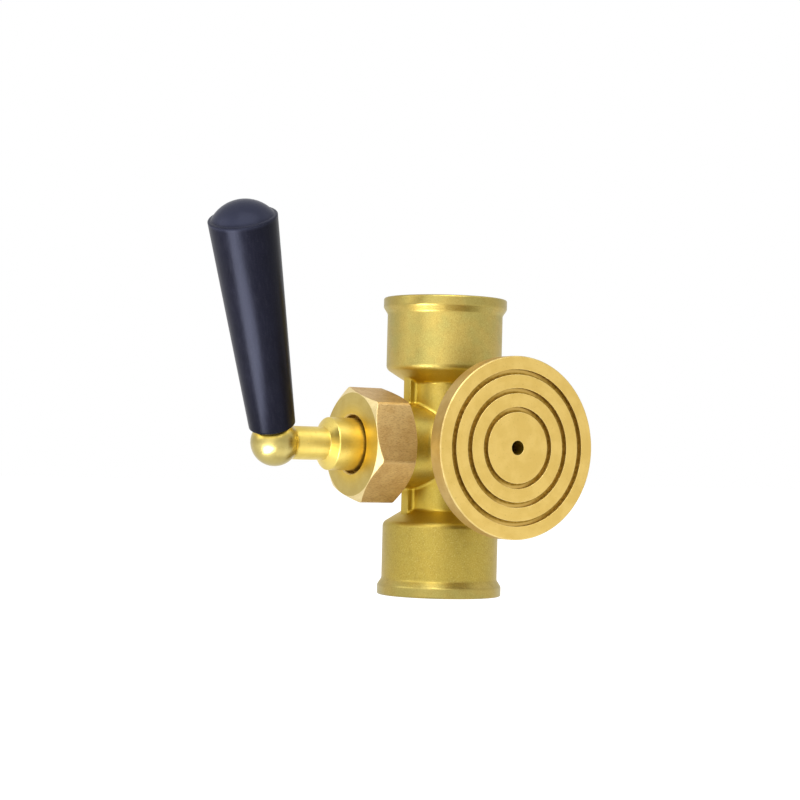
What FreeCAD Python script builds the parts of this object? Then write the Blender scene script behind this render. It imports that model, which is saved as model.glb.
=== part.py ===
"""A three-way gauge cock: forged brass body with two pipe sockets and a round
test flange, a tapered plug packed by a gland nut, and a black lever grip.

Millimetres. +Z runs up the body axis and the origin is the centre of the lower
socket's mouth. The plug axis is level and leaves the body towards -X, and the
test flange faces -Y. "Reach" is a distance from the crossing of the body axis
and the plug axis, measured outwards along the arm that is meant.
"""

import FreeCAD
import Part

import math
import os

from FreeCAD import Placement, Rotation, Vector

# Body axis: two equal sockets joined by a neck
BODY_HEIGHT = 68.0
SOCKET_RADIUS = 13.25
SOCKET_LENGTH = 16.45
SHOULDER_ANGLE = 32.0
SHOULDER_ROUND = 1.6
NECK_RADIUS = 8.4

# Bead round each socket's mouth
BEAD_RADIUS = 14.2
BEAD_WIDTH = 2.25
BEAD_FLANK = 1.45
BEAD_ROUND = 0.9
MOUTH_ROUND = 0.45

# Pipe thread in each socket, as a plain bore at the thread's outer radius
THREAD_RADIUS = 10.48
THREAD_DEPTH = 15.0
THREAD_LEAD_IN = 0.8

# Trim rib that the forging dies leave on the neck's two sides. The fillet at its root is a
# little larger than the crease fillets that it runs into.
RIB_HEIGHT = 1.5
RIB_WIDTH = 2.85
RIB_ROOT_EXTRA = 0.05
RIB_EDGE_ROUND = 0.2

# Ports
PORT_RADIUS = 3.0
TEST_PORT_RADIUS = 1.6

# Boss that holds the plug
BOSS_RADIUS = 9.55
BOSS_FAR_REACH = 13.0
BOSS_END_ROUND = 2.5
BOSS_END_MARGIN = 0.2
CREASE_FILLET = 0.8

# Threaded spigot on the boss, at the thread's mean radius, and its packing chamber. Spigot and
# chamber are measured inwards, from the boss's radius and from the spigot's.
# The take-up gap is what the follower's flange can still travel as the packing wears.
SPIGOT_STEP = 0.35
SPIGOT_CHAMFER = 0.5
TAKE_UP_GAP = 0.82
CHAMBER_WALL = 1.35

# Test flange. Its neck is smaller than the boss by the neck step.
FLANGE_RADIUS = 20.0
FLANGE_THICKNESS = 4.0
FLANGE_REACH = 30.36
FLANGE_CHAMFER = 0.2
FLANGE_BACK_ROUND = 0.3
FLANGE_NECK_STEP = 1.55
FLANGE_NECK_FILLET = 2.0

# Round grooves turned in the test flange's face
GROOVE_COUNT = 3
FIRST_GROOVE_RADIUS = 8.35
GROOVE_PITCH = 4.08
GROOVE_WIDTH = 1.15
GROOVE_DEPTH = 0.8

# Tapered plug
PLUG_MID_RADIUS = 6.75
PLUG_TAPER = 1.0 / 12.0
PLUG_FAR_REACH = 8.5
SHOULDER_REACH = 8.5
PLUG_END_ROUND = 0.4

# Stem, rod and ball
STEM_RADIUS = 5.9
STEM_REACH = 30.3
STEM_END_CONE = 1.15
STEM_EDGE_ROUND = 0.35
ROD_RADIUS = 3.7
BALL_RADIUS = 5.3
BALL_REACH = 43.55
BALL_FILLET = 1.5

# Stuffing box: washer, packing rings and follower. The follower's flange clears the nut's
# bore by the flange gap.
WASHER_THICKNESS = 0.8
RING_COUNT = 3
RING_THICKNESS = 1.9
FOLLOWER_FLANGE_GAP = 0.5
FOLLOWER_FLANGE_THICKNESS = 1.25

# Gland nut. The trim is what turning takes off its corners, the chamfers start just inside
# the flats, and the hole clears the stem by the hole gap.
NUT_ACROSS_FLATS = 23.3
NUT_CORNER_TRIM = 0.2
NUT_BACK_REACH = 14.0
NUT_FACE_REACH = 24.27
NUT_CHAMFER_START = 0.05
NUT_CHAMFER_ANGLE = 30.0
NUT_WEB = 2.6
NUT_HOLE_GAP = 0.66
NUT_HOLE_CHAMFER = 0.3
NUT_TURN = 43.9

# Lever: turned about the plug axis from upright towards the flange, and
# tilted away from the body
LEVER_TURN = 19.0
LEVER_TILT = 19.5

# Grip, measured from the ball's centre along the lever
GRIP_START = 4.1
GRIP_LENGTH = 48.0
GRIP_LOW_RADIUS = 5.1
GRIP_HIGH_RADIUS = 7.4
GRIP_LOW_ROUND = 0.4
GRIP_RIM_ROUND = 0.35
GRIP_RIM_LEDGE = 0.35
DOME_HEIGHT = 3.5

# Stud in the ball and insert in the grip. The insert is deeper than the stud by the spare length.
STUD_RADIUS = 2.0
STUD_IN_BALL = 3.2
STUD_END_CHAMFER = 0.4
INSERT_RADIUS = 3.2
INSERT_LENGTH = 10.5
INSERT_SPARE_LENGTH = 1.5

# Clearances
RUNNING_CLEARANCE = 0.05
SEATED_CLEARANCE = 0.03
THREAD_CLEARANCE = 0.1
END_CLEARANCE = 0.5
SKIN_TOLERANCE = 1e-4

SPIGOT_RADIUS = BOSS_RADIUS - SPIGOT_STEP
CHAMBER_RADIUS = SPIGOT_RADIUS - CHAMBER_WALL
FLANGE_NECK_RADIUS = BOSS_RADIUS - FLANGE_NECK_STEP
AXIS_HEIGHT = BODY_HEIGHT / 2
CROSSING = Vector(0, 0, AXIS_HEIGHT)
UP = Vector(0, 0, 1)
DOWN = Vector(0, 0, -1)
PLUG_OUT = Vector(-1, 0, 0)
FLANGE_OUT = Vector(0, -1, 0)
TURNING_AXIS = Vector(1, 0, 0)


def aimed(shape, direction, start=CROSSING):
    """Lay a shape that was made along +X from the origin along a direction from a start point."""
    placed = shape.copy()
    placed.Placement = Placement(start, Rotation(TURNING_AXIS, direction))
    return placed


def rounded_outline(corners):
    """A closed face in the (along, out) plane from (along, out, radius) corners.

    A corner with a radius is rounded by an arc that is tangent to both sides.
    """
    points = [Vector(along, out, 0) for along, out, radius in corners]
    arcs = []
    for index, (along, out, radius) in enumerate(corners):
        here = points[index]
        back = (points[index - 1] - here).normalize()
        ahead = (points[(index + 1) % len(points)] - here).normalize()
        half_angle = back.getAngle(ahead) / 2
        cut_back = radius / math.tan(half_angle)
        to_middle = radius / math.sin(half_angle) - radius
        inwards = (back + ahead).normalize()
        arcs.append((here + back * cut_back, here + inwards * to_middle, here + ahead * cut_back))
    edges = []
    for index, (start, middle, end) in enumerate(arcs):
        if corners[index][2] > 0:
            edges.append(Part.Arc(start, middle, end).toShape())
        next_start = arcs[(index + 1) % len(arcs)][0]
        edges.append(Part.makeLine(end, next_start))
    return Part.Face(Part.Wire(edges))


def turned(corners):
    """A turned solid round +X from the corners of its outline."""
    return rounded_outline(corners).revolve(Vector(0, 0, 0), TURNING_AXIS, 360)


def rod(radius, start, end):
    """A plain round solid along +X."""
    return Part.makeCylinder(radius, end - start, Vector(start, 0, 0), TURNING_AXIS)


def tube(outer, inner, start, end):
    """A plain ring or tube along +X."""
    return rod(outer, start, end).cut(rod(inner, start, end))


def cone_rod(start, start_radius, end, end_radius):
    """A tapered round solid along +X."""
    return Part.makeCone(start_radius, end_radius, end - start, Vector(start, 0, 0), TURNING_AXIS)


def on_skin(point, shape):
    """Whether a point lies on the outside of a shape."""
    return Part.Vertex(point).distToShape(shape.Shells[0])[0] < SKIN_TOLERANCE


def creases(joined, first, second):
    """The edges along which two shapes meet in the shape that was joined from them."""
    found = []
    for edge in joined.Edges:
        middle = edge.valueAt((edge.FirstParameter + edge.LastParameter) / 2)
        if on_skin(middle, first) and on_skin(middle, second):
            found.append(edge)
    return found


def joined_with_fillet(first, second, radius):
    """Two shapes made one, with a fillet of the given radius, if any, where they meet."""
    joined = first.fuse(second).removeSplitter()
    if radius <= 0:
        return joined
    return joined.makeFillet(radius, creases(joined, first, second))


def plug_radius(reach):
    """The plug's radius at a reach along the plug axis."""
    return PLUG_MID_RADIUS + PLUG_TAPER * reach


def lever_direction():
    """The direction from the ball's centre along the grip."""
    tilt = math.radians(LEVER_TILT)
    turn = math.radians(LEVER_TURN)
    across = math.cos(tilt)
    return Vector(-math.sin(tilt), -across * math.sin(turn), across * math.cos(turn))


def ball_centre():
    return CROSSING + PLUG_OUT * BALL_REACH


def shoulder_reach():
    """Reach of the shoulder's top, where the socket's straight wall starts."""
    return BODY_HEIGHT / 2 - SOCKET_LENGTH


def shoulder_slope():
    return math.tan(math.radians(SHOULDER_ANGLE))


def crease_fillet():
    """The fillet at the neck's two ends, limited by the neck's bare length between them."""
    neck_end = shoulder_reach() - (SOCKET_RADIUS - NECK_RADIUS) * shoulder_slope()
    return min(CREASE_FILLET, (neck_end - BOSS_RADIUS) / 3)


def neck_with_ribs():
    """The neck between the sockets, with the flat trim rib down its two sides."""
    half_height = shoulder_reach()
    foot = CROSSING + DOWN * half_height
    neck = Part.makeCylinder(NECK_RADIUS, 2 * half_height, foot)
    reach = NECK_RADIUS + RIB_HEIGHT
    rib = Part.makeBox(2 * reach, RIB_WIDTH, 2 * half_height)
    rib.translate(foot - Vector(reach, RIB_WIDTH / 2, 0))
    upright = [edge for edge in rib.Edges if edge.BoundBox.ZLength > half_height]
    rib = rib.makeFillet(RIB_EDGE_ROUND, upright)
    return joined_with_fillet(neck, rib, CREASE_FILLET + RIB_ROOT_EXTRA)


def socket_arm():
    """One shoulder and socket with its bead, the mouth towards +X."""
    mouth = BODY_HEIGHT / 2
    bead_start = mouth - BEAD_WIDTH
    return turned([
        (shoulder_reach() - SOCKET_RADIUS * shoulder_slope(), 0, 0),
        (shoulder_reach(), SOCKET_RADIUS, SHOULDER_ROUND),
        (bead_start - BEAD_FLANK, SOCKET_RADIUS, BEAD_ROUND),
        (bead_start, BEAD_RADIUS, BEAD_ROUND),
        (mouth, BEAD_RADIUS, MOUTH_ROUND),
        (mouth, 0, 0),
    ])


def socket_bore():
    """What is cut for one socket: lead-in, thread bore and port, with the mouth towards +X."""
    mouth = BODY_HEIGHT / 2
    bore = rod(THREAD_RADIUS, mouth - THREAD_DEPTH, mouth)
    lead_in = cone_rod(mouth - THREAD_LEAD_IN, THREAD_RADIUS, mouth, THREAD_RADIUS + THREAD_LEAD_IN)
    port = rod(PORT_RADIUS, 0, mouth - THREAD_DEPTH)
    return bore.fuse([lead_in, port])


def spigot_reach():
    """Reach of the spigot's end, short of the follower's flange by the take-up gap."""
    return NUT_FACE_REACH - NUT_WEB - FOLLOWER_FLANGE_THICKNESS - TAKE_UP_GAP


def boss_end_round():
    """The round on the boss's far end, limited by the room beside the flange neck's fillet."""
    room = BOSS_FAR_REACH - FLANGE_NECK_RADIUS - FLANGE_NECK_FILLET
    return min(BOSS_END_ROUND, room - BOSS_END_MARGIN)


def plug_boss():
    """The boss round the plug, with the gland nut's spigot, along +X as reach."""
    boss_end = NUT_BACK_REACH - SEATED_CLEARANCE
    boss = turned([
        (-BOSS_FAR_REACH, 0, 0),
        (-BOSS_FAR_REACH, BOSS_RADIUS, boss_end_round()),
        (boss_end, BOSS_RADIUS, 0),
        (boss_end, 0, 0),
    ])
    spigot = turned([
        (0, 0, 0),
        (0, SPIGOT_RADIUS, 0),
        (spigot_reach() - SPIGOT_CHAMFER, SPIGOT_RADIUS, 0),
        (spigot_reach(), SPIGOT_RADIUS - SPIGOT_CHAMFER, 0),
        (spigot_reach(), 0, 0),
    ])
    return boss.fuse(spigot)


def plug_seat():
    """What is cut for the plug: tapered seat and packing chamber, along +X as reach."""
    bottom = -PLUG_FAR_REACH - END_CLEARANCE
    seat = cone_rod(
        bottom,
        plug_radius(bottom) + RUNNING_CLEARANCE,
        SHOULDER_REACH,
        plug_radius(SHOULDER_REACH) + RUNNING_CLEARANCE,
    )
    chamber = rod(CHAMBER_RADIUS, SHOULDER_REACH - END_CLEARANCE, spigot_reach())
    return seat.fuse(chamber)


def flange_arm():
    """The test flange on its neck, along +X as reach."""
    back = FLANGE_REACH - FLANGE_THICKNESS
    return turned([
        (0, 0, 0),
        (0, FLANGE_NECK_RADIUS, 0),
        (back, FLANGE_NECK_RADIUS, FLANGE_NECK_FILLET),
        (back, FLANGE_RADIUS, FLANGE_BACK_ROUND),
        (FLANGE_REACH - FLANGE_CHAMFER, FLANGE_RADIUS, 0),
        (FLANGE_REACH, FLANGE_RADIUS - FLANGE_CHAMFER, 0),
        (FLANGE_REACH, 0, 0),
    ])


def flange_grooves():
    """The round grooves in the test flange's face, along +X as reach."""
    grooves = []
    for number in range(GROOVE_COUNT):
        middle = FIRST_GROOVE_RADIUS + number * GROOVE_PITCH
        outer = middle + GROOVE_WIDTH / 2
        grooves.append(tube(outer, outer - GROOVE_WIDTH, FLANGE_REACH - GROOVE_DEPTH, FLANGE_REACH))
    return grooves


def build_body():
    """The forging with its fillets, then everything that is machined out of it."""
    blank = joined_with_fillet(
        aimed(plug_boss(), PLUG_OUT), aimed(flange_arm(), FLANGE_OUT), FLANGE_NECK_FILLET
    )
    column = neck_with_ribs()
    for way in (UP, DOWN):
        column = joined_with_fillet(column, aimed(socket_arm(), way), crease_fillet())
    blank = joined_with_fillet(blank, column, crease_fillet())
    cuts = [
        aimed(socket_bore(), UP),
        aimed(socket_bore(), DOWN),
        aimed(plug_seat(), PLUG_OUT),
        aimed(rod(TEST_PORT_RADIUS, 0, FLANGE_REACH), FLANGE_OUT),
    ]
    cuts += [aimed(groove, FLANGE_OUT) for groove in flange_grooves()]
    return blank.cut(cuts)


def build_plug():
    """Plug, stem, rod and ball in one turned piece, with the three-way port."""
    blank = turned([
        (-PLUG_FAR_REACH, 0, 0),
        (-PLUG_FAR_REACH, plug_radius(-PLUG_FAR_REACH), PLUG_END_ROUND),
        (SHOULDER_REACH, plug_radius(SHOULDER_REACH), 0),
        (SHOULDER_REACH, STEM_RADIUS, 0),
        (STEM_REACH, STEM_RADIUS, STEM_EDGE_ROUND),
        (STEM_REACH + STEM_END_CONE, ROD_RADIUS, 0),
        (BALL_REACH, ROD_RADIUS, 0),
        (BALL_REACH, 0, 0),
    ])
    ball = Part.makeSphere(BALL_RADIUS, Vector(BALL_REACH, 0, 0))
    blank = aimed(joined_with_fillet(blank, ball, BALL_FILLET), PLUG_OUT)
    port = rod(PORT_RADIUS, 0, plug_radius(SHOULDER_REACH))
    ports = [aimed(port, way) for way in (UP, DOWN, -FLANGE_OUT)]
    for branch in ports:
        branch.rotate(CROSSING, TURNING_AXIS, LEVER_TURN)
    spot_face = rod(BALL_RADIUS, GRIP_START, 2 * BALL_RADIUS)
    stud_hole = rod(STUD_RADIUS + SEATED_CLEARANCE, GRIP_START - STUD_IN_BALL, GRIP_START)
    lever_cuts = [aimed(cut, lever_direction(), ball_centre()) for cut in (spot_face, stud_hole)]
    return blank.cut(ports + lever_cuts)


def packing_start():
    return SHOULDER_REACH + RUNNING_CLEARANCE + WASHER_THICKNESS


def build_packed_ring(start, thickness):
    """One ring of the stuffing box, filling the gap between chamber and stem."""
    outer = CHAMBER_RADIUS - SEATED_CLEARANCE
    inner = STEM_RADIUS + RUNNING_CLEARANCE
    return aimed(tube(outer, inner, start, start + thickness), PLUG_OUT)


def build_thrust_washer():
    return build_packed_ring(packing_start() - WASHER_THICKNESS, WASHER_THICKNESS)


def build_packing_ring(number):
    return build_packed_ring(packing_start() + number * RING_THICKNESS, RING_THICKNESS)


def nut_bore_radius():
    return SPIGOT_RADIUS + THREAD_CLEARANCE


def build_gland_follower():
    """The flanged bush that the gland nut presses on the packing."""
    tube_start = packing_start() + RING_COUNT * RING_THICKNESS
    flange_end = NUT_FACE_REACH - NUT_WEB
    flange_start = flange_end - FOLLOWER_FLANGE_THICKNESS
    follower = turned([
        (tube_start, STEM_RADIUS + RUNNING_CLEARANCE, 0),
        (tube_start, CHAMBER_RADIUS - SEATED_CLEARANCE, 0),
        (flange_start, CHAMBER_RADIUS - SEATED_CLEARANCE, 0),
        (flange_start, nut_bore_radius() - FOLLOWER_FLANGE_GAP, 0),
        (flange_end, nut_bore_radius() - FOLLOWER_FLANGE_GAP, 0),
        (flange_end, STEM_RADIUS + RUNNING_CLEARANCE, 0),
    ])
    return aimed(follower, PLUG_OUT)


def hexagon_rod(corner_radius, start, end):
    """A hexagonal bar along +X with one corner on +Y."""
    angles = [math.radians(60 * number) for number in range(6)]
    corners = [Vector(start, corner_radius * math.cos(a), corner_radius * math.sin(a)) for a in angles]
    outline = Part.makePolygon(corners + corners[:1])
    return Part.Face(outline).extrude(TURNING_AXIS * (end - start))


def build_gland_nut():
    """The hexagonal nut: a turned blank with chamfered corners, milled to six flats."""
    flat_reach = NUT_ACROSS_FLATS / 2
    sharp_corner = flat_reach / math.cos(math.radians(30))
    corner = sharp_corner - NUT_CORNER_TRIM
    rim = flat_reach - NUT_CHAMFER_START
    chamfer = (corner - rim) * math.tan(math.radians(NUT_CHAMFER_ANGLE))
    blank = turned([
        (NUT_BACK_REACH, 0, 0),
        (NUT_BACK_REACH, rim, 0),
        (NUT_BACK_REACH + chamfer, corner, 0),
        (NUT_FACE_REACH - chamfer, corner, 0),
        (NUT_FACE_REACH, rim, 0),
        (NUT_FACE_REACH, 0, 0),
    ])
    nut = blank.common(hexagon_rod(sharp_corner, NUT_BACK_REACH, NUT_FACE_REACH))
    hole = STEM_RADIUS + NUT_HOLE_GAP
    nut = nut.cut([
        rod(nut_bore_radius(), NUT_BACK_REACH, NUT_FACE_REACH - NUT_WEB),
        rod(hole, NUT_BACK_REACH, NUT_FACE_REACH),
        cone_rod(NUT_FACE_REACH - NUT_HOLE_CHAMFER, hole, NUT_FACE_REACH, hole + NUT_HOLE_CHAMFER),
    ])
    nut = aimed(nut, PLUG_OUT)
    nut.rotate(CROSSING, TURNING_AXIS, -NUT_TURN)
    return nut


def build_lever_stud():
    start = GRIP_START - STUD_IN_BALL + SEATED_CLEARANCE
    end = GRIP_START + INSERT_LENGTH - INSERT_SPARE_LENGTH
    stud = turned([
        (start, 0, 0),
        (start, STUD_RADIUS - STUD_END_CHAMFER, 0),
        (start + STUD_END_CHAMFER, STUD_RADIUS, 0),
        (end - STUD_END_CHAMFER, STUD_RADIUS, 0),
        (end, STUD_RADIUS - STUD_END_CHAMFER, 0),
        (end, 0, 0),
    ])
    return aimed(stud, lever_direction(), ball_centre())


def build_grip_insert():
    bush = tube(INSERT_RADIUS, STUD_RADIUS + SEATED_CLEARANCE, GRIP_START, GRIP_START + INSERT_LENGTH)
    return aimed(bush, lever_direction(), ball_centre())


def build_grip():
    """The tapered grip with its domed top and the hole that holds the insert."""
    rim = GRIP_START + GRIP_LENGTH
    shank = turned([
        (GRIP_START, 0, 0),
        (GRIP_START, GRIP_LOW_RADIUS, GRIP_LOW_ROUND),
        (rim, GRIP_HIGH_RADIUS, GRIP_RIM_ROUND),
        (rim, 0, 0),
    ])
    dome_base = GRIP_HIGH_RADIUS - GRIP_RIM_ROUND - GRIP_RIM_LEDGE
    dome_radius = (dome_base ** 2 + DOME_HEIGHT ** 2) / (2 * DOME_HEIGHT)
    sphere = Part.makeSphere(dome_radius, Vector(rim + DOME_HEIGHT - dome_radius, 0, 0))
    dome = sphere.common(rod(dome_radius, rim, rim + DOME_HEIGHT))
    hole = rod(INSERT_RADIUS + SEATED_CLEARANCE, GRIP_START, GRIP_START + INSERT_LENGTH)
    return aimed(shank.fuse(dome).cut(hole), lever_direction(), ball_centre())


def build_all():
    pieces = {
        "body": build_body(),
        "plug": build_plug(),
        "thrust_washer": build_thrust_washer(),
        "gland_follower": build_gland_follower(),
        "gland_nut": build_gland_nut(),
        "lever_stud": build_lever_stud(),
        "grip_insert": build_grip_insert(),
        "grip": build_grip(),
    }
    for number in range(RING_COUNT):
        pieces[f"packing_ring_{number + 1}"] = build_packing_ring(number)
    return pieces


os.makedirs("parts", exist_ok=True)
for name, shape in build_all().items():
    print(name, len(shape.Solids), "solid", round(shape.Volume, 1), "mm3", shape.isValid())
    shape.exportStep(os.path.join("parts", name + ".step"))
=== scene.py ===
"""Looks of the gauge cock: finishes, pipe threads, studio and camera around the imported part.

Metres, in the part's own frame: +Z up the body axis from the lower socket's mouth, the plug's stem
towards -X and the test flange towards -Y.
"""

import math

import bmesh
import bpy
from mathutils import Matrix, Vector


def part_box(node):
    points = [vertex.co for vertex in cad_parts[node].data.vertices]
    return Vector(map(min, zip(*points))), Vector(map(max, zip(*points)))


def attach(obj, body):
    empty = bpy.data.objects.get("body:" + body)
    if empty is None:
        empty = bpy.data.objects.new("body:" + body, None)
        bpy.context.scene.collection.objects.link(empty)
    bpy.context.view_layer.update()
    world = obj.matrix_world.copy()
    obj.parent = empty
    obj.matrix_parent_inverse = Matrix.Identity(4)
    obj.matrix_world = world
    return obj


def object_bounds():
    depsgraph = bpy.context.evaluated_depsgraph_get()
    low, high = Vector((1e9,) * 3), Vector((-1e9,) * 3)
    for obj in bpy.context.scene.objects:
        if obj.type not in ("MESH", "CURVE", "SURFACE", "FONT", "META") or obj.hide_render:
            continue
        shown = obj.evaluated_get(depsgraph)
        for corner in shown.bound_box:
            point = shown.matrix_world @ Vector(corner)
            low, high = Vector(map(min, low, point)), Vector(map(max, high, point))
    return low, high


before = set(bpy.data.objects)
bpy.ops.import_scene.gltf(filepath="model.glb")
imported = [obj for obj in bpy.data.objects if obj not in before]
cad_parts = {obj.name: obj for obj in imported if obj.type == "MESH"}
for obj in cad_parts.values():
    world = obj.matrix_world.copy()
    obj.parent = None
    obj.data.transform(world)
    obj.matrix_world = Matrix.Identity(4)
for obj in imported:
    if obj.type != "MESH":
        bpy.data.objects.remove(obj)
cad_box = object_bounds()

MM = 0.001

# Places that the finishes are laid out from. The thickness, the depths, the plain rim and the dome's
# height are set off a little from the solids' own, so that each finish covers the whole of its area
BODY_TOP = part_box("body")[1].z
AXIS_HEIGHT = BODY_TOP / 2
CROSSING = Vector((0, 0, AXIS_HEIGHT))
FLANGE_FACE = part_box("body")[0].y
FLANGE_RADIUS = 20 * MM
FLANGE_CHAMFER = 0.2 * MM
FLANGE_THICKNESS = 4.1 * MM
SOCKET_BORE = 10.48 * MM
SOCKET_DEPTH = 15.1 * MM
BORE_MARGIN = 0.9 * MM
BEAD_WIDTH = 2.25 * MM
GROOVE_RADIUS = 8.35 * MM
GROOVE_PITCH = 4.08 * MM
GROOVE_DEPTH = 1.2 * MM
PLAIN_RIM = 1.5 * MM
BALL_CENTRE = Vector((-43.55, 0, 34)) * MM
BALL_RADIUS = 5.3 * MM
DOME_HEIGHT = 4.6 * MM
LEVER_TILT = math.radians(19.5)
LEVER_TURN = math.radians(19)
GRIP_AXIS = Vector((
    -math.sin(LEVER_TILT),
    -math.cos(LEVER_TILT) * math.sin(LEVER_TURN),
    math.cos(LEVER_TILT) * math.cos(LEVER_TURN),
))
NEAR = 0.02 * MM
SQUARE_ON = 0.99

# Pipe thread in both sockets
THREAD_PITCH = 1.814 * MM
THREAD_INNER_RADIUS = 9.32 * MM
THREAD_LENGTH = 12.2 * MM
THREAD_START = 1.75 * MM
THREAD_SINK = 0.02 * MM
THREAD_ROOT_GAP = 0.06 * MM
THREAD_HALF_ANGLE = math.radians(27.5)
THREAD_STEPS_PER_TURN = 64
THREAD_FADE_STEPS = 24
THREAD_LEAST = 0.03

# Surroundings: the light on dull surfaces, the white that is seen, and the floor's size and glow
ROOM_LIGHT = 0.4
ROOM_WHITE = 1.0
FLOOR_COLOUR = 0.4
FLOOR_HALF_SIZE = 3.0
FLOOR_SHADOW_REACH = 0.12
FLOOR_WHITE_REACH = 0.35
FLOOR_GLOW = 0.8
# The floor lies below the reach of the lever when it is turned down
FLOOR_DROP = 20 * MM

# Soft boxes: name, distance, turn to the right of straight in front, rise, width, height, radiance.
# Lengths in these two lists are in millimetres and angles in degrees
SOFT_BOXES = [
    ("key_box", 500, -52, 15, 400, 400, 0.85),
    ("front_box", 600, -25, 50, 500, 400, 5.0),
    ("left_box", 450, -100, 25, 250, 250, 2.0),
    ("right_box", 400, 52, 52, 200, 200, 0.95),
]
# Panels that lie level at the valve's foot: name, x, y, length, width, turn, radiance. The low one
# at the front left makes the stripes on grip and ball
FLOOR_PANELS = [
    ("low_panel", -126, -35, 112, 52, 8, 20.5),
    ("under_panel", -6, -42, 90, 50, 0, 0.55),
]
PANEL_HEIGHT = 1 * MM
# Grids on the panels keep their light off what stands beside them
PANEL_SPREAD = math.radians(145)

# Camera, as fitted to the photograph
CAMERA_PLACE = Vector((-243.41, -377.29, 31.13)) * MM
CAMERA_YAW = math.radians(31.56)
CAMERA_PITCH = math.radians(1.71)
CAMERA_ROLL = math.radians(1.4176)
CAMERA_LENS_MM = 87.73


def rgba(colour):
    """A grey value or a red, green, blue colour with its alpha."""
    if isinstance(colour, (int, float)):
        colour = (colour,) * 3
    return (*colour, 1.0)


def srgb(red, green, blue):
    """A linear colour from 0 to 255 screen values."""
    linear = []
    for value in (red, green, blue):
        value /= 255
        linear.append(value / 12.92 if value <= 0.04045 else ((value + 0.055) / 1.055) ** 2.4)
    return tuple(linear)


# Colours of the brass and the grip
FORGED_GREEN = srgb(166, 152, 84)
FORGED_WARM = srgb(177, 155, 83)
FORGED_DULL = srgb(140, 122, 62)
FORGED_SPECK = srgb(134, 108, 50)
FORGED_GLINT = srgb(202, 188, 116)
# Painted reflection: the gold that hollows in the forging take
HOLLOW_REFLECTED_GOLD = srgb(206, 178, 80)
# Painted shade in tight creases
CREASE_SHADE = srgb(110, 78, 22)
# Painted reflection: gold where other parts hem the brass in
FORGED_REFLECTED_GOLD = srgb(200, 169, 46)
# Painted reflection: the warmer tint of the forging's lower part
FORGED_LOW_REFLECTION = srgb(172, 149, 64)
PALE_EDGE = srgb(240, 222, 160)
# Painted reflection of nearby brass on turned parts
NEARBY_BRASS_REFLECTION = srgb(222, 184, 46)
NUT_LINE = srgb(140, 104, 66)
INNER_BRIGHT = srgb(226, 196, 104)
INNER_DULL = srgb(204, 172, 88)
GROOVE_DARK = srgb(140, 108, 32)
GROOVE_LIGHT = srgb(168, 134, 54)
# The grooves' floor where it has no painted shade
GROOVE_FLOOR_BRIGHT = srgb(206, 172, 92)
GRIP_DEEP = srgb(7, 7, 11)
GRIP_BLOOM = srgb(17, 17, 27)
# Painted sheen on the grip's dome
GRIP_DOME_SHEEN = srgb(42, 44, 58)
GRIP_WORN = srgb(88, 88, 98)
GRIP_TINT = (0.64, 0.69, 1.0)
GRIP_GLOSS = 0.075

# Turning marks, and how much of its length along the grip a scuff loses
TURNED_BAND = 0.22 * MM
SCUFF_STRETCH = 0.92

# What keeps the distance from an axis: the plug's, the flange's and the body's
ROUND_PLUG = (0, 1, 1)
ROUND_FLANGE = (1, 0, 1)
ROUND_BODY = (1, 1, 0)


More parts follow.
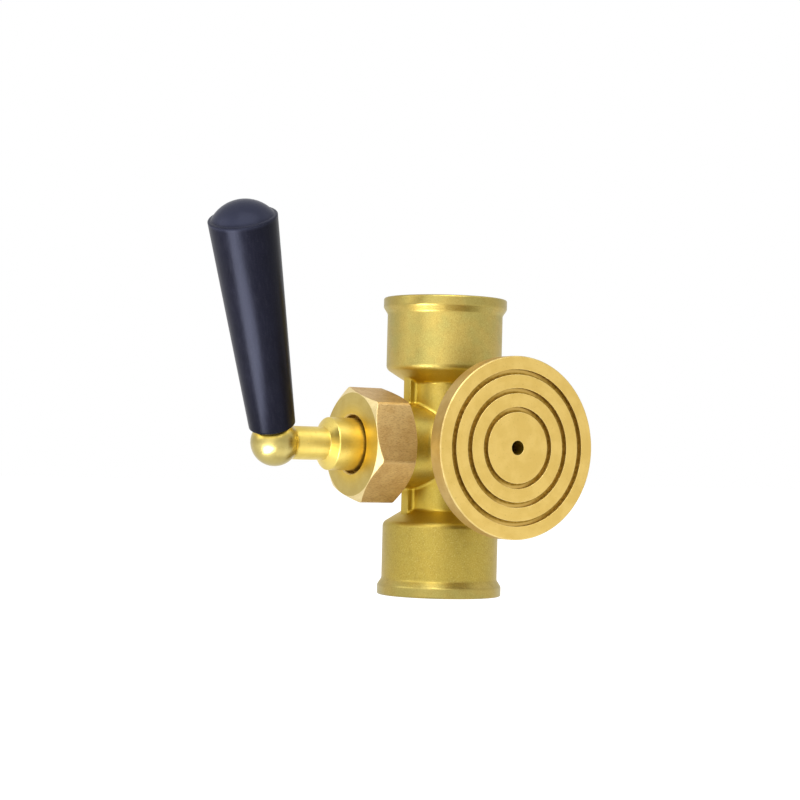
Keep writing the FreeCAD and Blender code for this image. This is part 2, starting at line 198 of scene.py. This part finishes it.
class Nodes:
    """Short calls for building a node tree."""

    def __init__(self, tree):
        self.tree = tree
        tree.nodes.clear()

    def plug_in(self, socket, value):
        """Link another node's output to an input, or set a value there."""
        if isinstance(value, bpy.types.NodeSocket):
            self.tree.links.new(value, socket)
        else:
            socket.default_value = value

    def add(self, kind, settings=None, **inputs):
        """A node with its settings and inputs. An input named i0, i1 and so on goes by its place."""
        node = self.tree.nodes.new(kind)
        for name, value in (settings or {}).items():
            setattr(node, name, value)
        for name, value in inputs.items():
            key = int(name[1:]) if name[0] == "i" and name[1:].isdigit() else name.replace("_", " ")
            self.plug_in(node.inputs[key], value)
        return node

    def math(self, operation, *values):
        node = self.add("ShaderNodeMath", {"operation": operation})
        for index, value in enumerate(values):
            self.plug_in(node.inputs[index], value)
        return node.outputs[0]

    def vector(self, operation, *values):
        node = self.add("ShaderNodeVectorMath", {"operation": operation})
        for index, value in enumerate(values):
            self.plug_in(node.inputs[index], value)
        return node

    def step(self, value, low, high, out_low=0.0, out_high=1.0):
        """A smooth step of a value from one level to another."""
        node = self.add("ShaderNodeMapRange", {"interpolation_type": "SMOOTHSTEP"}, Value=value)
        settings = {"From Min": low, "From Max": high, "To Min": out_low, "To Max": out_high}
        for name, setting in settings.items():
            node.inputs[name].default_value = setting
        return node.outputs["Result"]

    def mix(self, factor, first, second, blend="MIX"):
        """Two colours mixed."""
        node = self.add("ShaderNodeMix", {"data_type": "RGBA", "blend_type": blend})
        self.plug_in(node.inputs[0], factor)
        for index, value in ((6, first), (7, second)):
            linked = isinstance(value, bpy.types.NodeSocket)
            self.plug_in(node.inputs[index], value if linked else rgba(value))
        return node.outputs[2]

    def place(self):
        """The place on the object, in metres, which rides along with the piece."""
        return self.add("ShaderNodeTexCoord").outputs["Object"]

    def noise(self, place, size, detail=2.0, stretch=(1, 1, 1)):
        """Noise with features of about a size in metres, stretched along the axes, from 0 to 1."""
        scaled = self.vector("MULTIPLY", place, tuple(1 / size / factor for factor in stretch)).outputs[0]
        return self.add("ShaderNodeTexNoise", Vector=scaled, Scale=1.0, Detail=detail).outputs["Fac"]

    def off_axis(self, place, origin, mask):
        """Distance from an axis through a point. The mask is zero along the axis."""
        shifted = self.vector("SUBTRACT", place, tuple(origin)).outputs[0]
        return self.vector("LENGTH", self.vector("MULTIPLY", shifted, mask).outputs[0]).outputs["Value"]

    def rings(self, distance, width):
        """Random bands of a width along a distance, from 0 to 1."""
        along = self.math("DIVIDE", distance, width)
        settings = {"noise_dimensions": "1D"}
        return self.add("ShaderNodeTexNoise", settings, W=along, Scale=1.0, Detail=2.0).outputs["Fac"]

    def bump(self, height, strength, depth, normal=None):
        node = self.add("ShaderNodeBump", Height=height, Strength=strength, Distance=depth)
        if normal is not None:
            self.plug_in(node.inputs["Normal"], normal)
        return node.outputs[0]

    def crevice(self, reach, own=True):
        """From 0 in the open to 1 where the surface is shut in within a reach, by its own piece or any."""
        node = self.add("ShaderNodeAmbientOcclusion", {"samples": 8, "only_local": own}, Distance=reach)
        return self.math("SUBTRACT", 1.0, node.outputs["AO"])

    def edge(self, radius):
        """The normal rounded over the edges, and from 0 on flats to 1 on edges."""
        rounded = self.add("ShaderNodeBevel", {"samples": 6}, Radius=radius).outputs[0]
        flat = self.add("ShaderNodeNewGeometry").outputs["Normal"]
        agree = self.vector("DOT_PRODUCT", rounded, flat).outputs["Value"]
        return rounded, self.step(agree, 0.995, 0.9, 0.0, 1.0)

    def worn(self, place, edge, amount):
        """How far an edge is rubbed bright: unevenly, by about an amount."""
        rubbed = self.step(self.noise(place, 0.9 * MM, 3.0), 0.4, 0.6, 0.3 * amount, 1.7 * amount)
        return self.math("MULTIPLY", edge, rubbed)


def new_material(name):
    material = bpy.data.materials.new(name)
    material.use_nodes = True
    return material, Nodes(material.node_tree)


def metal(nodes, colour, rough, skin, metallic=1.0):
    """The last nodes of a metal finish."""
    shader = nodes.add(
        "ShaderNodeBsdfPrincipled", Base_Color=colour, Metallic=metallic, Roughness=rough, Normal=skin
    )
    nodes.add("ShaderNodeOutputMaterial", Surface=shader.outputs[0])


def make_camera():
    """Yaw turns from +Y towards +X, pitch is above the horizon, and roll is about the line of sight."""
    flat = math.cos(CAMERA_PITCH)
    ahead = Vector((math.sin(CAMERA_YAW) * flat, math.cos(CAMERA_YAW) * flat, math.sin(CAMERA_PITCH)))
    level = Vector((math.cos(CAMERA_YAW), -math.sin(CAMERA_YAW), 0))
    above = level.cross(ahead)
    right = math.cos(CAMERA_ROLL) * level + math.sin(CAMERA_ROLL) * above
    up = -math.sin(CAMERA_ROLL) * level + math.cos(CAMERA_ROLL) * above
    camera = bpy.data.objects.new("camera", bpy.data.cameras.new("camera"))
    bpy.context.scene.collection.objects.link(camera)
    camera.matrix_world = Matrix.Translation(CAMERA_PLACE) @ Matrix((right, up, -ahead)).transposed().to_4x4()
    camera.data.lens = CAMERA_LENS_MM
    camera.data.clip_start = 0.01
    camera.data.clip_end = 20
    bpy.context.scene.camera = camera


def seen_plainly(nodes):
    """1 for rays that show the surroundings: to the camera, in metal or through glass."""
    path = nodes.add("ShaderNodeLightPath")
    mirrored = nodes.math("MAXIMUM", path.outputs["Is Glossy Ray"], path.outputs["Is Transmission Ray"])
    return nodes.math("MAXIMUM", path.outputs["Is Camera Ray"], mirrored)


def make_world():
    """White where it is seen, and less than half as bright as light on dull surfaces."""
    world = bpy.data.worlds.new("white_room")
    bpy.context.scene.world = world
    world.use_nodes = True
    nodes = Nodes(world.node_tree)
    light = nodes.add("ShaderNodeBackground", Color=rgba(1.0), Strength=ROOM_LIGHT).outputs[0]
    white = nodes.add("ShaderNodeBackground", Color=rgba(1.0), Strength=ROOM_WHITE).outputs[0]
    mixed = nodes.add("ShaderNodeMixShader", Fac=seen_plainly(nodes), i1=light, i2=white).outputs[0]
    nodes.add("ShaderNodeOutputWorld", Surface=mixed)


def make_floor():
    """A pale floor that shows white. It is so bright that it hides all but a faint shadow of what comes
    close to it, and it is clear from below."""
    mesh = bpy.data.meshes.new("floor")
    size = FLOOR_HALF_SIZE
    corners = [(-size, -size, 0), (size, -size, 0), (size, size, 0), (-size, size, 0)]
    mesh.from_pydata(corners, [], [(0, 1, 2, 3)])
    floor = bpy.data.objects.new("floor", mesh)
    bpy.context.scene.collection.objects.link(floor)
    floor.location.z = cad_box[0].z - FLOOR_DROP
    material, nodes = new_material("floor")
    away = nodes.vector("LENGTH", nodes.place()).outputs["Value"]
    glow = nodes.step(away, FLOOR_SHADOW_REACH, FLOOR_WHITE_REACH, FLOOR_GLOW, 1.0)
    glow = nodes.math("MULTIPLY", seen_plainly(nodes), glow)
    diffuse = nodes.add("ShaderNodeBsdfDiffuse", Color=rgba(FLOOR_COLOUR)).outputs[0]
    shine = nodes.add("ShaderNodeEmission", Color=rgba(1.0), Strength=glow).outputs[0]
    total = nodes.add("ShaderNodeAddShader", i0=diffuse, i1=shine).outputs[0]
    below = nodes.add("ShaderNodeNewGeometry").outputs["Backfacing"]
    clear = nodes.add("ShaderNodeBsdfTransparent").outputs[0]
    total = nodes.add("ShaderNodeMixShader", Fac=below, i1=total, i2=clear).outputs[0]
    nodes.add("ShaderNodeOutputMaterial", Surface=total)
    mesh.materials.append(material)


def make_lamp(name, size, radiance):
    """A rectangular soft box, as bright all over as its radiance says, and not seen by the camera."""
    data = bpy.data.lights.new(name, "AREA")
    data.shape = "RECTANGLE"
    data.size, data.size_y = size
    data.energy = radiance * math.pi * size[0] * size[1]
    lamp = bpy.data.objects.new(name, data)
    bpy.context.scene.collection.objects.link(lamp)
    lamp.rotation_mode = "QUATERNION"
    lamp.visible_camera = False
    return lamp


def make_soft_box(name, distance, turn, rise, width, height, radiance):
    """A soft box in a direction from the object's middle, and facing it."""
    turn, rise = math.radians(turn), math.radians(rise)
    level = math.cos(rise)
    towards = Vector((math.sin(turn) * level, -math.cos(turn) * level, math.sin(rise)))
    lamp = make_lamp(name, (width * MM, height * MM), radiance)
    lamp.location = CROSSING + towards * distance * MM
    lamp.rotation_quaternion = (-towards).to_track_quat("-Z", "Y")


def make_floor_panel(name, x, y, length, width, turn, radiance):
    """A panel that lies level and faces up, with its length turned from the X axis."""
    lamp = make_lamp(name, (length * MM, width * MM), radiance)
    lamp.location = (x * MM, y * MM, PANEL_HEIGHT)
    lamp.data.spread = PANEL_SPREAD
    lamp.rotation_mode = "XYZ"
    lamp.rotation_euler = (math.pi, 0, math.radians(turn))


def forged_brass():
    """The forging's blasted skin: fine grain and faint stains, a painted gold reflection in hollows and
    where other parts hem it in, painted shade in tight creases, and pale where edges are rubbed. Its
    lower part is tinted warmer by a painted reflection and its beads are duller in colour and smoother,
    to match the photograph."""
    material, nodes = new_material("forged_brass")
    place = nodes.place()
    stain = nodes.noise(place, 5 * MM, 3.0)
    patch = nodes.noise(place, 1.6 * MM, 3.0)
    grain = nodes.noise(place, 0.26 * MM, 2.0)
    height = nodes.add("ShaderNodeSeparateXYZ", Vector=place).outputs["Z"]
    end = nodes.math("MINIMUM", height, nodes.math("SUBTRACT", BODY_TOP, height))
    # Painted reflection: a warmer tint over the lower part, fading out at the ends
    low = nodes.step(height, 0.6 * BODY_TOP, 0.2 * BODY_TOP, 0.0, 0.75)
    low = nodes.math("MULTIPLY", low, nodes.step(end, BEAD_WIDTH, 2 * BEAD_WIDTH))
    colour = nodes.mix(nodes.step(stain, 0.35, 0.65), FORGED_GREEN, FORGED_WARM)
    colour = nodes.mix(low, colour, FORGED_LOW_REFLECTION)
    colour = nodes.mix(nodes.step(patch, 0.5, 0.72, 0.0, 0.18), colour, FORGED_DULL)
    colour = nodes.mix(nodes.step(grain, 0.53, 0.7, 0.0, 0.38), colour, FORGED_SPECK)
    colour = nodes.mix(nodes.step(grain, 0.46, 0.3, 0.0, 0.32), colour, FORGED_GLINT)
    # Painted reflection: hollows in the skin tinted gold
    hollow_reflection_mask = nodes.crevice(6 * MM)
    colour = nodes.mix(nodes.step(hollow_reflection_mask, 0.06, 0.55, 0.0, 0.7), colour, HOLLOW_REFLECTED_GOLD)
    # Painted shade: tight creases darkened
    crease_shade_mask = nodes.crevice(0.9 * MM)
    colour = nodes.mix(nodes.step(crease_shade_mask, 0.25, 0.8, 0.0, 0.6), colour, CREASE_SHADE)
    rounded, edge = nodes.edge(0.3 * MM)
    colour = nodes.mix(nodes.worn(place, edge, 0.45), colour, PALE_EDGE)
    # Painted reflection: gold where other parts hem the skin in, fading out towards the ends
    gold_reflection_mask = nodes.step(nodes.crevice(16 * MM, False), 0.15, 0.65, 0.0, 0.8)
    gold_reflection_mask = nodes.math("MULTIPLY", gold_reflection_mask, nodes.step(end, 8 * MM, 20 * MM))
    colour = nodes.mix(gold_reflection_mask, colour, FORGED_REFLECTED_GOLD)
    bead = nodes.step(end, BEAD_WIDTH, BEAD_WIDTH + 0.5 * MM, 0.25, 0.0)
    colour = nodes.mix(bead, colour, FORGED_DULL)
    rough = nodes.math("MULTIPLY_ADD", patch, 0.16, 0.36)
    rough = nodes.math("MULTIPLY_ADD", bead, -0.3, rough)
    fine = nodes.bump(nodes.noise(place, 0.12 * MM, 2.0), 0.3, 0.02 * MM, rounded)
    skin = nodes.bump(grain, 0.4, 0.04 * MM, fine)
    metal(nodes, colour, rough, skin)
    return material


def turned_brass(name, mask, bright, dull, roughness, glow=0.0, cut=0.3):
    """A turned surface. Its fine bands go by the distance from an axis through the crossing, which the
    mask picks, or by the place along X if the mask is None. The glow is a painted reflection of the gold
    of nearby brass."""
    material, nodes = new_material(name)
    place = nodes.place()
    if mask is None:
        along = nodes.add("ShaderNodeSeparateXYZ", Vector=place).outputs["X"]
    else:
        along = nodes.off_axis(place, CROSSING, mask)
    bands = nodes.rings(along, TURNED_BAND)
    wide_bands = nodes.rings(along, 5 * TURNED_BAND)
    stain = nodes.noise(place, 3.5 * MM, 3.0)
    speck = nodes.noise(place, 0.4 * MM, 2.0)
    colour = nodes.mix(nodes.step(stain, 0.35, 0.65), bright, dull)
    colour = nodes.mix(nodes.step(bands, 0.5, 0.75, 0.0, 0.3), colour, dull)
    colour = nodes.mix(nodes.step(wide_bands, 0.45, 0.75, 0.0, 0.3), colour, dull)
    colour = nodes.mix(nodes.step(speck, 0.62, 0.75, 0.0, 0.3), colour, FORGED_SPECK)
    if glow:
        # Painted reflection: the gold of nearby brass where other parts hem the surface in
        gold_reflection_mask = nodes.step(nodes.crevice(9 * MM, False), 0.05, 0.45, 0.0, glow)
        colour = nodes.mix(gold_reflection_mask, colour, NEARBY_BRASS_REFLECTION)
    rounded, edge = nodes.edge(0.2 * MM)
    colour = nodes.mix(nodes.worn(place, edge, 0.4), colour, PALE_EDGE)
    rough = nodes.math("MULTIPLY_ADD", wide_bands, 0.12, roughness)
    skin = nodes.bump(bands, cut, 0.02 * MM, rounded)
    skin = nodes.bump(speck, 0.15, 0.03 * MM, skin)
    metal(nodes, colour, rough, skin)
    return material


def drawn_brass(name, bright, dull, roughness, depth):
    """The nut's flats: bar stock with drawing lines along the plug axis."""
    material, nodes = new_material(name)
    place = nodes.place()
    lines = nodes.noise(place, 0.2 * MM, 2.0, (3, 1, 1))
    fine = nodes.noise(place, 0.12 * MM, 2.0, (6, 1, 1))
    stain = nodes.noise(place, 3 * MM, 3.0)
    colour = nodes.mix(nodes.step(stain, 0.35, 0.65), bright, dull)
    colour = nodes.mix(nodes.step(lines, 0.5, 0.66, 0.0, depth), colour, NUT_LINE)
    colour = nodes.mix(nodes.step(lines, 0.42, 0.3, 0.0, 0.5 * depth), colour, PALE_EDGE)
    rounded, edge = nodes.edge(0.25 * MM)
    colour = nodes.mix(nodes.math("MULTIPLY", edge, 0.5), colour, PALE_EDGE)
    rough = nodes.math("MULTIPLY_ADD", stain, 0.14, roughness)
    skin = nodes.bump(lines, 0.5 * depth, 0.05 * MM, rounded)
    skin = nodes.bump(fine, 0.3, 0.02 * MM, skin)
    metal(nodes, colour, rough, skin)
    return material


def groove_floor_brass():
    """The grooves' floors: bright above and below the middle, with painted shade at the sides and in the
    corners.
    """
    material, nodes = new_material("groove_floor")
    place = nodes.place()
    away = nodes.off_axis(place, CROSSING, ROUND_FLANGE)
    sideways = nodes.math("ABSOLUTE", nodes.add("ShaderNodeSeparateXYZ", Vector=place).outputs["X"])
    # Painted shade: darker towards the flange's sides and along the groove walls
    side = nodes.step(nodes.math("DIVIDE", sideways, away), 0.15, 0.6)
    middle = GROOVE_PITCH / 2
    outwards = nodes.math("SUBTRACT", away, GROOVE_RADIUS - middle)
    across = nodes.math("MODULO", outwards, GROOVE_PITCH)
    corner = nodes.step(across, middle - 0.3 * MM, middle + 0.1 * MM, 1.0, 0.0)
    rim = nodes.step(across, middle + 0.4 * MM, middle + 0.56 * MM)
    mottle = nodes.noise(place, 0.8 * MM, 3.0)
    dark = nodes.mix(nodes.step(mottle, 0.35, 0.65), GROOVE_DARK, GROOVE_LIGHT)
    groove_shade = nodes.math("MAXIMUM", side, nodes.math("MAXIMUM", corner, rim))
    colour = nodes.mix(groove_shade, GROOVE_FLOOR_BRIGHT, dark)
    shader = nodes.add("ShaderNodeBsdfPrincipled", Base_Color=colour, Metallic=0.9, Roughness=0.45)
    nodes.add("ShaderNodeOutputMaterial", Surface=shader.outputs[0])
    return material


def groove_brass():
    """The grooves' walls, dark brown and mottled."""
    material, nodes = new_material("groove_brass")
    place = nodes.place()
    mottle = nodes.noise(place, 0.8 * MM, 3.0)
    colour = nodes.mix(nodes.step(mottle, 0.35, 0.65), GROOVE_DARK, GROOVE_LIGHT)
    skin = nodes.bump(mottle, 0.3, 0.04 * MM)
    metal(nodes, colour, 0.6, skin, 0.7)
    return material


def grip_plastic():
    """Black thermoset: a soft gloss with faint waves, moulding bloom, fine scuffs and a dome paled by painted
    sheen.
    """
    material, nodes = new_material("black_grip")
    place = nodes.place()
    bloom = nodes.noise(place, 9 * MM, 3.0)
    wave = nodes.noise(place, 1.4 * MM, 2.0)
    along = nodes.vector("DOT_PRODUCT", place, tuple(GRIP_AXIS)).outputs["Value"]
    scale = {"operation": "SCALE"}
    drawn_in = nodes.add("ShaderNodeVectorMath", scale, i0=tuple(GRIP_AXIS), Scale=along).outputs[0]
    drawn_in = nodes.add("ShaderNodeVectorMath", scale, i0=drawn_in, Scale=SCUFF_STRETCH).outputs[0]
    scuff = nodes.noise(nodes.vector("SUBTRACT", place, drawn_in).outputs[0], 0.3 * MM, 3.0)
    colour = nodes.mix(bloom, GRIP_DEEP, GRIP_BLOOM)
    end = max(corner.co.dot(GRIP_AXIS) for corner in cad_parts["grip"].data.vertices)
    # Painted sheen: the dome paler towards the grip's end
    colour = nodes.mix(nodes.step(along, end - DOME_HEIGHT, end - 0.6 * DOME_HEIGHT), colour, GRIP_DOME_SHEEN)
    rounded, edge = nodes.edge(0.4 * MM)
    colour = nodes.mix(nodes.math("MULTIPLY", edge, 0.25), colour, GRIP_WORN)
    grain = nodes.noise(place, 0.3 * MM, 2.0)
    colour = nodes.mix(nodes.step(grain, 0.5, 0.7, 0.0, 0.03), colour, GRIP_WORN)
    colour = nodes.mix(nodes.step(scuff, 0.45, 0.7, 0.0, 0.02), colour, GRIP_WORN)
    rough = nodes.math("MULTIPLY_ADD", bloom, 0.08, 0.25)
    rough = nodes.math("ADD", rough, nodes.step(scuff, 0.5, 0.7, 0.0, 0.09))
    skin = nodes.bump(wave, 0.15, 0.05 * MM, rounded)
    skin = nodes.bump(scuff, 0.22, 0.03 * MM, skin)
    skin = nodes.bump(grain, 0.2, 0.03 * MM, skin)
    shader = nodes.add(
        "ShaderNodeBsdfPrincipled", Base_Color=colour, Roughness=rough, Specular_IOR_Level=GRIP_GLOSS,
        Specular_Tint=rgba(GRIP_TINT), Normal=skin
    )
    nodes.add("ShaderNodeOutputMaterial", Surface=shader.outputs[0])
    return material


def packing_material():
    material, nodes = new_material("packing")
    place = nodes.place()
    fibre = nodes.noise(place, 0.3 * MM, 2.0)
    colour = nodes.mix(nodes.step(fibre, 0.3, 0.7), srgb(206, 202, 192), srgb(236, 234, 228))
    skin = nodes.bump(fibre, 0.3, 0.03 * MM)
    shader = nodes.add("ShaderNodeBsdfPrincipled", Base_Color=colour, Roughness=0.55, Normal=skin)
    nodes.add("ShaderNodeOutputMaterial", Surface=shader.outputs[0])
    return material


def steel():
    material, nodes = new_material("steel")
    place = nodes.place()
    cloud = nodes.noise(place, 1.2 * MM, 3.0)
    colour = nodes.mix(cloud, srgb(176, 178, 180), srgb(206, 206, 204))
    rough = nodes.math("MULTIPLY_ADD", cloud, 0.15, 0.3)
    shader = nodes.add("ShaderNodeBsdfPrincipled", Base_Color=colour, Metallic=1.0, Roughness=rough)
    nodes.add("ShaderNodeOutputMaterial", Surface=shader.outputs[0])
    return material


def dress(node, materials, choose=None):
    """Give a CAD node its finishes. The choice says which of them a face takes."""
    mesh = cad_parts[node].data
    mesh.materials.clear()
    for material in materials:
        mesh.materials.append(material)
    for polygon in mesh.polygons:
        polygon.material_index = choose(polygon) if choose else 0


SKIN, FACE, GROOVE, RIM, BEVEL, BORE, GROOVE_FLOOR = range(7)


def body_finish(polygon):
    """Which of the body's finishes a face takes, by its place and the way it looks."""
    centre = polygon.center
    normal = polygon.normal
    off_flange = math.hypot(centre.x, centre.z - AXIS_HEIGHT)
    off_body = math.hypot(centre.x, centre.y)
    behind_face = centre.y - FLANGE_FACE
    if behind_face < NEAR and normal.y < -SQUARE_ON:
        return FACE
    if behind_face < GROOVE_DEPTH and off_flange < FLANGE_RADIUS - PLAIN_RIM:
        return GROOVE_FLOOR if normal.y < -SQUARE_ON else GROOVE
    if behind_face < FLANGE_CHAMFER and off_flange > FLANGE_RADIUS - FLANGE_CHAMFER:
        return BEVEL
    if behind_face < FLANGE_THICKNESS and off_flange > FLANGE_RADIUS - NEAR:
        return RIM
    end = min(centre.z, BODY_TOP - centre.z)
    if end < NEAR and abs(normal.z) > SQUARE_ON:
        return BORE
    looks_inwards = normal.x * centre.x + normal.y * centre.y < 0
    if off_body < SOCKET_BORE + BORE_MARGIN and end < SOCKET_DEPTH and looks_inwards:
        return BORE
    return SKIN


def plug_finish(polygon):
    """The ball at the lever's foot is darker and smoother than the turned stem and rod."""
    return 1 if (polygon.center - BALL_CENTRE).length < BALL_RADIUS + NEAR else 0


NUT_FLAT, NUT_END, NUT_CHAMFER = range(3)


def nut_finish(polygon):
    """The nut's flats look across the plug axis, its end faces along it, and the chamfer in between."""
    across = abs(polygon.normal.x)
    if across < 0.05:
        return NUT_FLAT
    if across > 0.98:
        return NUT_END
    return NUT_CHAMFER


def thread_ridge(name, mouth, inwards):
    """The ridge of a pipe thread in a socket, as a helix from a mouth inwards."""
    turns = THREAD_LENGTH / THREAD_PITCH
    steps = round(turns * THREAD_STEPS_PER_TURN)
    root = SOCKET_BORE + THREAD_SINK
    half_root = THREAD_PITCH / 2 - THREAD_ROOT_GAP
    half_crest = half_root - (root - THREAD_INNER_RADIUS) * math.tan(THREAD_HALF_ANGLE)
    points = []
    for step in range(steps + 1):
        angle = 2 * math.pi * step / THREAD_STEPS_PER_TURN
        fade = min(1.0, step / THREAD_FADE_STEPS, (steps - step) / THREAD_FADE_STEPS)
        crest = root - (root - THREAD_INNER_RADIUS) * max(fade, THREAD_LEAST)
        middle = mouth + inwards * (THREAD_START + THREAD_PITCH * step / THREAD_STEPS_PER_TURN)
        outline = ((root, -half_root), (crest, -half_crest), (crest, half_crest), (root, half_root))
        for radius, half in outline:
            x = radius * math.cos(angle)
            y = inwards * radius * math.sin(angle)
            points.append((x, y, middle + inwards * half))
    faces = [(3, 2, 1, 0)]
    for step in range(steps):
        start = 4 * step
        for side in range(4):
            ahead = (side + 1) % 4
            faces.append((start + side, start + ahead, start + 4 + ahead, start + 4 + side))
    last = 4 * steps
    faces.append((last, last + 1, last + 2, last + 3))
    mesh = bpy.data.meshes.new(name)
    mesh.from_pydata(points, [], faces)
    shell = bmesh.new()
    shell.from_mesh(mesh)
    bmesh.ops.recalc_face_normals(shell, faces=shell.faces)
    shell.to_mesh(mesh)
    shell.free()
    ridge = bpy.data.objects.new(name, mesh)
    bpy.context.scene.collection.objects.link(ridge)
    return ridge


make_camera()
make_world()
make_floor()
for panel in FLOOR_PANELS:
    make_floor_panel(*panel)
for box in SOFT_BOXES:
    make_soft_box(*box)

flange_face = turned_brass("flange_face", ROUND_FLANGE, srgb(216, 186, 107), srgb(208, 177, 97), 0.42)
flange_rim = turned_brass("flange_rim", None, srgb(189, 159, 93), srgb(177, 144, 78), 0.42)
flange_bevel = turned_brass("flange_bevel", ROUND_FLANGE, srgb(198, 177, 116), srgb(182, 158, 98), 0.42)
groove_floor = groove_floor_brass()
bore = turned_brass("turned_bore", ROUND_BODY, INNER_BRIGHT, INNER_DULL, 0.34)
body_finishes = [forged_brass(), flange_face, groove_brass(), flange_rim, flange_bevel, bore, groove_floor]
dress("body", body_finishes, body_finish)

turned = turned_brass("turned_brass", None, srgb(221, 198, 108), srgb(210, 186, 96), 0.32, 0.35)
ball = turned_brass("ball_brass", None, srgb(178, 163, 100), srgb(168, 152, 90), 0.24, 0.55, cut=0.08)
dress("plug", [turned, ball], plug_finish)

flat = drawn_brass("nut_brass", srgb(204, 173, 116), srgb(191, 158, 101), 0.42, 0.4)
nut_end = turned_brass("nut_face", ROUND_PLUG, srgb(186, 166, 98), srgb(178, 156, 88), 0.36, 0.9)
nut_chamfer = turned_brass("nut_chamfer", ROUND_PLUG, srgb(228, 208, 154), srgb(214, 194, 138), 0.4)
dress("gland_nut", [flat, nut_end, nut_chamfer], nut_finish)

inner = turned_brass("inner_brass", ROUND_PLUG, INNER_BRIGHT, INNER_DULL, 0.34)
for node in ("thrust_washer", "gland_follower", "grip_insert"):
    dress(node, [inner])
packing = packing_material()
for node in ("packing_ring_1", "packing_ring_2", "packing_ring_3"):
    dress(node, [packing])
dress("lever_stud", [steel()])
dress("grip", [grip_plastic()])

for name, mouth, inwards in (("inlet_thread", 0.0, 1), ("gauge_thread", BODY_TOP, -1)):
    ridge = thread_ridge(name, mouth, inwards)
    ridge.data.materials.append(bore)
    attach(ridge, "valve_body")

scene = bpy.context.scene
scene.view_settings.view_transform = "Standard"
